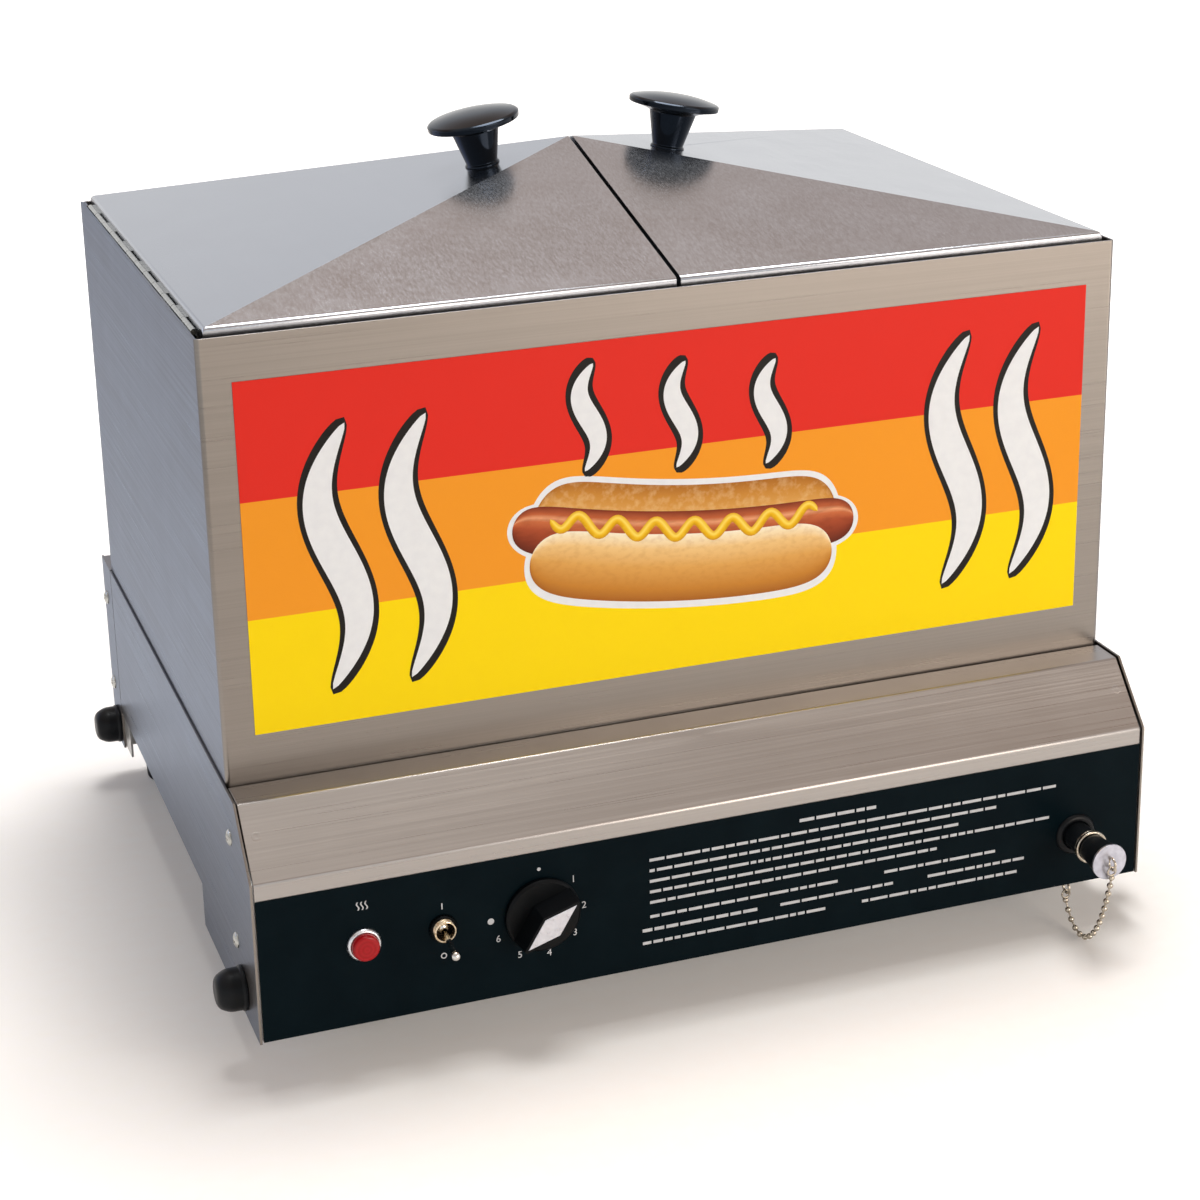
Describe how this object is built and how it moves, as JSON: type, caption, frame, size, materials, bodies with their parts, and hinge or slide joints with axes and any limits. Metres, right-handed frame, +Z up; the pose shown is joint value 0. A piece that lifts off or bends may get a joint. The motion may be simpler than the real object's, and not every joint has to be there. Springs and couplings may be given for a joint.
{
  "type": "hot dog steamer",
  "caption": "Countertop steamer cabinet: a perforated hot dog tray and a wire bun rack sit over a heated water pan, under hinged lids.",
  "frame": {"origin": "centre of the whole object's footprint, on the counter under the feet", "axes": "+X to the right as seen from the front, along the control panel; +Y to the back; +Z up"},
  "size_m": [0.4886, 0.4255, 0.4143],
  "materials": {
    "stainless_body": "fine brushed, satin",
    "stainless_inner": "satin",
    "rack_wire": "bright",
    "sign_print": "glossy print",
    "control_black": "satin",
    "black_phenolic": "glossy",
    "inlay_aluminium": "satin",
    "screw_steel": "bright",
    "hinge_steel": "satin",
    "black_rubber": "matte",
    "chrome": "polished",
    "red_lens": "polished",
    "component_plastic": "matte",
    "thermostat_steel": "satin",
    "element_sheath": "heat-darkened",
    "copper": "satin",
    "wire_insulation": "matte",
    "disc_metal": "satin",
    "chain_nickel": "bright"
  },
  "bodies": {
    "frame": {"base_back": "stainless_body", "base_floor": "stainless_inner", "base_hood": "stainless_body", "base_left_side": "stainless_body", "base_right_side": "stainless_body", "bun_rack": "rack_wire", "cabinet_back": "stainless_body", "cabinet_shell": "stainless_body", "chain_anchor": "chain_nickel", "control_overlay": "control_black", "cord_gland": "black_rubber", "divider": "stainless_inner", "drain_collar": "chrome", "drain_grommet": "black_rubber", "drain_tube": "black_rubber", "element_clamps": "stainless_inner", "feet": "black_rubber", "heating_element": "element_sheath", "hood_end_brackets": "stainless_inner", "hot_dog_tray": "stainless_inner", "internal_wires": "wire_insulation", "left_hinge_pin": "hinge_steel", "left_hinge_wall_leaf": "hinge_steel", "lid_ledges": "stainless_inner", "pilot_lamp_bezel": "chrome", "pilot_lamp_body": "component_plastic", "pilot_lamp_lens": "red_lens", "rear_corner_brackets": "stainless_inner", "right_hinge_pin": "hinge_steel", "right_hinge_wall_leaf": "hinge_steel", "side_bumpers": "black_rubber", "side_screws": "screw_steel", "sign_panel": "sign_print", "terminal_block": "component_plastic", "thermostat_body": "thermostat_steel", "thermostat_bulb": "copper", "thermostat_screws": "screw_steel", "toggle_bushing": "chrome", "toggle_nut": "chrome", "toggle_switch_body": "component_plastic", "water_pan": "stainless_inner"},
    "left_lid": {"left_lid": "stainless_body", "left_lid_knob": "black_phenolic", "left_knob_screw": "screw_steel", "left_hinge_lid_leaf": "hinge_steel"},
    "right_lid": {"right_lid": "stainless_body", "right_lid_knob": "black_phenolic", "right_knob_screw": "screw_steel", "right_hinge_lid_leaf": "hinge_steel"},
    "toggle": {"toggle_lever": "chrome"},
    "thermostat_dial": {"thermostat_knob": "black_phenolic", "thermostat_knob_inlay": "inlay_aluminium", "thermostat_shaft": "screw_steel"},
    "plug": {"drain_plug": "black_rubber", "plug_disc": "disc_metal", "plug_eye": "chain_nickel", "drain_chain": "chain_nickel"}
  },
  "joints": [
    {"name": "left_lid_hinge", "type": "hinge", "parent": "frame", "child": "left_lid", "pos_m": [-0.226, 0.029, 0.349], "axis": [0, -1, 0], "range_deg": [0, 100]},
    {"name": "right_lid_hinge", "type": "hinge", "parent": "frame", "child": "right_lid", "pos_m": [0.226, 0.029, 0.349], "axis": [0, 1, 0], "range_deg": [0, 100]},
    {"name": "toggle_lever_hinge", "type": "hinge", "parent": "frame", "child": "toggle", "pos_m": [-0.1411, -0.17115, 0.0685], "axis": [-1, 0, 0], "range_deg": [0, 24]},
    {"name": "thermostat_dial_turn", "type": "hinge", "parent": "frame", "child": "thermostat_dial", "pos_m": [-0.0924, -0.17265, 0.0663], "axis": [0, -1, 0], "range_deg": [-218, 48]},
    {"name": "drain_plug_slide", "type": "slide", "parent": "frame", "child": "plug", "axis": [0, -1, 0], "range_m": [0, 0.016], "deforming": ["drain_chain"]}
  ]
}
